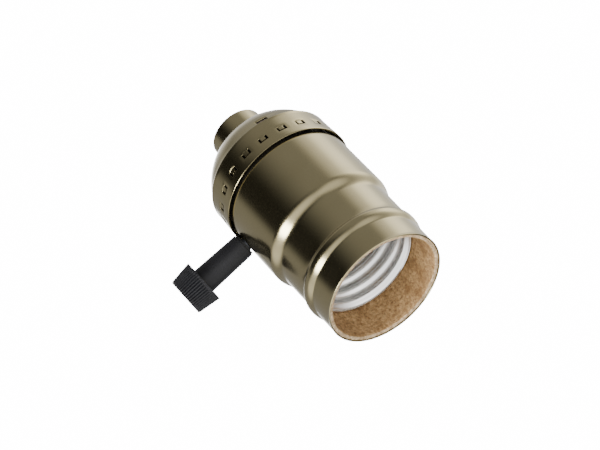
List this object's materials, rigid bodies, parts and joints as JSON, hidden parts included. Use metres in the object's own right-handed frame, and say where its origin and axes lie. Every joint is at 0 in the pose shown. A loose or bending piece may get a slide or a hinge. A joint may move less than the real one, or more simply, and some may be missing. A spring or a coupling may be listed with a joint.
{
  "type": "turn-knob lamp socket",
  "caption": "Metal-shell lamp socket for a medium screw bulb, with a turn-knob switch on its side, a lanced domed cap and a threaded neck for a lamp pipe.",
  "frame": {"origin": "centre of the neck's open end, on the lamp pipe's axis", "axes": "+Z along the socket from the neck to the bulb mouth, +X along the turn knob's axis, away from the shell"},
  "size_m": [0.0538, 0.0348, 0.0643],
  "materials": {
    "antique_metal": "satin antique bronze plating",
    "aluminium": "bright rolled",
    "brass": "plain",
    "spring_bronze": "plain",
    "plated_steel": "zinc plated",
    "spring_steel": "blued",
    "phenolic": "moulded phenolic",
    "knob_plastic": "matte moulded",
    "cardboard": "fibrous",
    "fibre": "vulcanised fibre"
  },
  "bodies": {
    "socket": {"neck_bushing": "antique_metal", "set_screw": "antique_metal", "cap": "antique_metal", "cap_liner": "fibre", "screw_shell": "aluminium", "screw_shell_screws": "plated_steel", "switch_housing": "phenolic", "socket_base": "phenolic", "housing_screws": "plated_steel", "hot_terminal_plate": "brass", "hot_terminal_screw": "brass", "neutral_terminal_plate": "plated_steel", "neutral_terminal_screw": "plated_steel", "line_contact": "spring_bronze", "load_contact": "spring_bronze", "centre_contact": "spring_bronze", "centre_contact_rivet": "brass", "detent_spring": "spring_steel"},
    "switch_shaft": {"knob": "knob_plastic", "knob_shaft": "spring_steel", "switch_rotor": "phenolic", "rotor_contact": "spring_bronze", "shaft_washer": "plated_steel"},
    "shell": {"outer_shell": "antique_metal", "insulating_sleeve": "cardboard"}
  },
  "joints": [
    {"name": "knob_turn", "type": "hinge", "parent": "socket", "child": "switch_shaft", "pos_m": [0, 0, 0.027], "axis": [1, 0, 0], "continuous": true},
    {"name": "shell_pull_off", "type": "slide", "parent": "socket", "child": "shell", "axis": [0, 0, 1], "range_m": [0, 0.05]}
  ]
}
